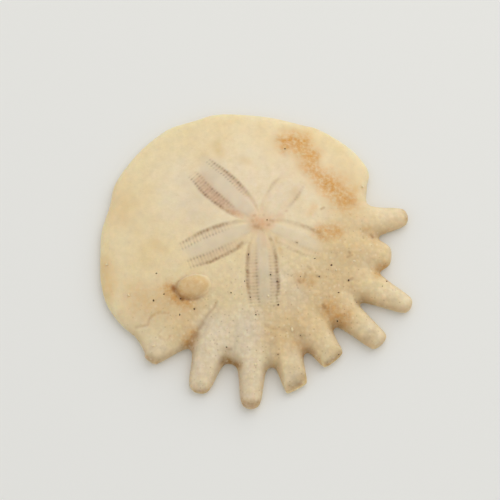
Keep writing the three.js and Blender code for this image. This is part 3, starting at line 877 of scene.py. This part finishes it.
def bleachedTestMaterial():
    # Sun-bleached calcite test: a dry, finely porous skin that takes the light softly and lets a little through
    material = bpy.data.materials.new("sunBleachedCalcite")
    material.use_nodes = True
    links = material.node_tree.links
    shader = material.node_tree.nodes["Principled BSDF"]
    place = addNode(material, "ShaderNodeTexCoord").outputs["Object"]
    clouds = addNode(material, "ShaderNodeTexNoise", {}, {
        "Vector": place, "Scale": 1 / bleachedTest["cloudSize"], "Detail": 5, "Roughness": 0.6,
    })
    low, high = bleachedTest["cloudRange"]
    cloudShare = addNode(material, "ShaderNodeMapRange", {}, {
        "Value": clouds.outputs["Fac"], "From Min": low, "From Max": high, "To Max": bleachedTest["deepest"],
    })
    skin = addNode(material, "ShaderNodeMix", {"data_type": "RGBA"}, {
        0: cloudShare.outputs[0], 6: linear(bleachedTest["base"]), 7: linear(bleachedTest["deep"]),
    }).outputs[2]
    speckle = addNode(material, "ShaderNodeTexNoise", {}, {
        "Vector": place, "Scale": 1 / bleachedTest["speckleSize"], "Detail": 3, "Roughness": 0.65,
    })
    low, high = bleachedTest["speckleRange"]
    for label, colour, least, most in bleachedTest["marks"]:
        mask = addNode(material, "ShaderNodeAttribute", {"attribute_name": label}).outputs["Fac"]
        shown = addNode(material, "ShaderNodeMapRange", {}, {
            "Value": speckle.outputs["Fac"], "From Min": low, "From Max": high, "To Min": least, "To Max": most,
        })
        share = addNode(material, "ShaderNodeMath", {"operation": "MULTIPLY"}, {0: mask, 1: shown.outputs[0]})
        skin = addNode(material, "ShaderNodeMix", {"data_type": "RGBA"}, {
            0: share.outputs[0], 6: skin, 7: linear(colour),
        }).outputs[2]
    # small brown pores, and pale dots painted on as highlights on the spine bases, mostly among the fingers
    rough = addNode(material, "ShaderNodeAttribute", {"attribute_name": "rough"}).outputs["Fac"]
    for spacing, radius, colour, strength, onSmooth in bleachedTest["specks"]:
        cells = addNode(material, "ShaderNodeTexVoronoi", {}, {"Vector": place, "Scale": 1 / spacing})
        dots = addNode(material, "ShaderNodeMapRange", {}, {
            "Value": cells.outputs["Distance"], "From Min": radius / spacing, "From Max": radius / spacing / 3,
        })
        where = addNode(material, "ShaderNodeMapRange", {}, {
            "Value": rough, "To Min": strength * onSmooth, "To Max": strength,
        })
        share = addNode(material, "ShaderNodeMath", {"operation": "MULTIPLY"}, {
            0: dots.outputs[0], 1: where.outputs[0],
        })
        skin = addNode(material, "ShaderNodeMix", {"data_type": "RGBA"}, {
            0: share.outputs[0], 6: skin, 7: linear(colour),
        }).outputs[2]
    # painted shade: darker in the hollows between the bumps; and a fine mottle all over
    bumps = addNode(material, "ShaderNodeAttribute", {"attribute_name": "bumps"}).outputs["Fac"]
    hollow = addNode(material, "ShaderNodeMath", {"operation": "SUBTRACT"}, {0: rough, 1: bumps}).outputs[0]
    shade = addNode(material, "ShaderNodeMapRange", {}, {
        "Value": hollow, "To Min": 1.0, "To Max": bleachedTest["hollowShade"],
    })
    mottle = addNode(material, "ShaderNodeTexNoise", {}, {
        "Vector": place, "Scale": 1 / bleachedTest["mottleSize"], "Detail": 4, "Roughness": 0.7,
    })
    low, high = bleachedTest["mottleRange"]
    dark, light = bleachedTest["mottleShades"]
    mottleShade = addNode(material, "ShaderNodeMapRange", {}, {
        "Value": mottle.outputs["Fac"], "From Min": low, "From Max": high, "To Min": dark, "To Max": light,
    })
    shades = addNode(material, "ShaderNodeMath", {"operation": "MULTIPLY"}, {
        0: shade.outputs[0], 1: mottleShade.outputs[0],
    })
    skin = addNode(material, "ShaderNodeVectorMath", {"operation": "SCALE"}, {0: skin, "Scale": shades.outputs[0]})
    links.new(skin.outputs[0], shader.inputs["Base Color"])
    grain = addNode(material, "ShaderNodeTexNoise", {}, {
        "Vector": place, "Scale": 1 / bleachedTest["grainSize"], "Detail": 3,
    })
    bump = addNode(material, "ShaderNodeBump", {}, {
        "Height": grain.outputs["Fac"],
        "Strength": bleachedTest["grainStrength"], "Distance": bleachedTest["grainHeight"],
    })
    links.new(bump.outputs["Normal"], shader.inputs["Normal"])
    shader.inputs["Roughness"].default_value = bleachedTest["roughness"]
    shader.inputs["IOR"].default_value = bleachedTest["ior"]
    shader.inputs["Subsurface Weight"].default_value = bleachedTest["subsurface"]
    shader.inputs["Subsurface Radius"].default_value = bleachedTest["subsurfaceRadius"]
    shader.inputs["Subsurface Scale"].default_value = 1.0
    return material


test = buildTest()
test.data.materials.append(bleachedTestMaterial())
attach(test, "root")
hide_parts("sand_dollar")
print("stage: test built,", len(test.data.polygons), "triangles")

sand = {
    "darkPlaces": [  # in photo pixels
        (285, 149), (267, 220), (331.5, 265), (309.8, 268.2), (314.6, 258.4), (300.3, 276.5), (319.1, 276.5),
        (348.5, 280.2), (382.3, 286.1), (386.6, 281.3), (356.5, 302.3), (338.5, 292.5), (337.3, 320.9),
        (300.3, 335.3), (277.9, 354.2), (338.7, 354.5), (250.3, 297), (278.2, 304.6), (277, 281), (244.6, 281),
        (248.4, 254.1), (270.4, 274.4), (255.8, 314.6), (297, 242.5), (179.6, 314.6), (231, 292.5),
        (156.4, 273.3), (163.9, 294), (180.5, 298.5), (153.5, 300.3), (194.3, 308.9), (226.5, 347),
    ],
    "palePlaces": [
        (292, 329.5), (268, 296), (354, 261), (336, 270), (255, 364), (106.5, 264.7), (128.3, 295.1), (154, 345.6),
        (362.5, 187),
    ],
    "darkSize": (0.15, 0.28),  # across, in mm
    "paleSize": (0.3, 0.45),
    "dark": ("#3a2a1a", "#6b5136"),
    "pale": ("#f6e8c6", "#e6cf9e"),
    "stretch": (0.6, 1.35),
    "unevenness": (0.8, 1.15),
    "lift": 0.15,  # how far a grain's middle stands over the test, in widths
    "cloudSize": 0.002,
    "roughness": 0.7,
}


def ball():  # a small round solid of 80 faces: points and triangles
    golden = (1 + math.sqrt(5)) / 2
    corners = [(a, b * golden, 0) for a in (-1, 1) for b in (-1, 1)]
    corners += [(0, a, b * golden) for a in (-1, 1) for b in (-1, 1)]
    corners += [(b * golden, 0, a) for a in (-1, 1) for b in (-1, 1)]
    corners = [Vector(corner).normalized() for corner in corners]
    shape = bmesh.new()
    for corner in corners:
        shape.verts.new(corner)
    bmesh.ops.convex_hull(shape, input=shape.verts)
    bmesh.ops.subdivide_edges(shape, edges=shape.edges, cuts=1, use_grid_fill=True)
    for vertex in shape.verts:
        vertex.co.normalize()
    shape.verts.index_update()
    points = np.array([vertex.co[:] for vertex in shape.verts])
    faces = np.array([[vertex.index for vertex in face.verts] for face in shape.faces])
    shape.free()
    return points, faces


def sandGrains(name, pixels, size, colours, seed):
    random = np.random.RandomState(seed)
    points, faces = ball()
    spots = fromPhoto(pixels)
    petal, _ = petalRelief(spots)
    heights = plainHeight(spots) + growthRelief(spots)[0] + petal
    vertices, triangles = [], []
    for i, (spot, height) in enumerate(zip(spots + shift, heights)):
        across = random.uniform(*size)
        stretch = random.uniform(*sand["stretch"], 3)
        unevenness = random.uniform(*sand["unevenness"], (len(points), 1))
        grain = points * across / 2 * stretch * unevenness
        vertices.append(grain + (*spot, height + across * sand["lift"]))
        triangles.append(faces + i * len(points))
    piece = meshObject(name, np.vstack(vertices), np.vstack(triangles))
    material = bpy.data.materials.new(name + "Stone")
    material.use_nodes = True
    shader = material.node_tree.nodes["Principled BSDF"]
    place = addNode(material, "ShaderNodeTexCoord").outputs["Object"]
    clouds = addNode(material, "ShaderNodeTexNoise", {}, {
        "Vector": place, "Scale": 1 / sand["cloudSize"], "Detail": 1,
    })
    tone = addNode(material, "ShaderNodeMix", {"data_type": "RGBA"}, {
        0: clouds.outputs["Fac"], 6: linear(colours[0]), 7: linear(colours[1]),
    })
    material.node_tree.links.new(tone.outputs[2], shader.inputs["Base Color"])
    shader.inputs["Roughness"].default_value = sand["roughness"]
    piece.data.materials.append(material)
    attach(piece, "root")


sandGrains("dark_sand", sand["darkPlaces"], sand["darkSize"], sand["dark"], 3)
sandGrains("pale_sand", sand["palePlaces"], sand["paleSize"], sand["pale"], 4)
print("stage: sand grains placed")


studio = {
    "floor": "#efefec",
    "floorReach": 900,
    "floorRoughness": 0.9,
    "keyPlace": (0.25, 0.36, 0.42),
    "keySize": 0.75,
    "keyPower": 1.65,
    "keyColour": "#fffdf8",
    "fillPlace": (-0.35, -0.2, 0.75),
    "fillSize": 0.8,
    "fillPower": 0.25,
    "fillColour": "#fbfcff",
    "world": 0.668,
    "worldColour": "#fbfbfa",
}


def addFloor():
    reach = studio["floorReach"]
    corners = np.array([(-reach, -reach, 0), (reach, -reach, 0), (reach, reach, 0), (-reach, reach, 0)])
    floor = meshObject("floor", corners, np.array([(0, 1, 2, 3)]))
    material = bpy.data.materials.new("mattBoard")  # matt painted board: a pale, even ground with soft shadows
    material.use_nodes = True
    shader = material.node_tree.nodes["Principled BSDF"]
    shader.inputs["Base Color"].default_value = linear(studio["floor"])
    shader.inputs["Roughness"].default_value = studio["floorRoughness"]
    floor.data.materials.append(material)


def addLight(name, place, size, power, colour):
    light = bpy.data.lights.new(name, "AREA")
    light.size = size
    light.energy = power
    light.color = linear(colour)[:3]
    lamp = bpy.data.objects.new(name, light)
    lamp.location = place
    lamp.rotation_euler = (-Vector(place)).to_track_quat("-Z", "Y").to_euler()
    bpy.context.scene.collection.objects.link(lamp)


def addCamera():
    camera = bpy.data.cameras.new("camera")
    camera.lens = camera.sensor_width * photo["distance"] * photo["pixelsPerMm"] / photo["size"]
    camera.clip_start = 0.01
    view = bpy.data.objects.new("camera", camera)
    flat, up = direction(photo["elevation"])
    aside = (photo["size"] / 2 - photo["originAt"][0]) / photo["pixelsPerMm"] / 1000
    above = (photo["originAt"][1] - photo["size"] / 2) / photo["pixelsPerMm"] / 1000
    aim = Vector((aside, above * up, above * flat))
    view.location = aim + Vector((0, -flat, up)) * photo["distance"] / 1000
    view.rotation_euler = (aim - view.location).to_track_quat("-Z", "Y").to_euler()
    bpy.context.scene.collection.objects.link(view)
    bpy.context.scene.camera = view


addFloor()
addLight("window", studio["keyPlace"], studio["keySize"], studio["keyPower"], studio["keyColour"])
addLight("fill", studio["fillPlace"], studio["fillSize"], studio["fillPower"], studio["fillColour"])
world = bpy.data.worlds.new("studio")
bpy.context.scene.world = world
world.use_nodes = True
background = world.node_tree.nodes["Background"]
background.inputs["Color"].default_value = linear(studio["worldColour"])
background.inputs["Strength"].default_value = studio["world"]
addCamera()
bpy.context.scene.view_settings.view_transform = "Standard"  # colours come out as they are given here
print("stage: studio set")
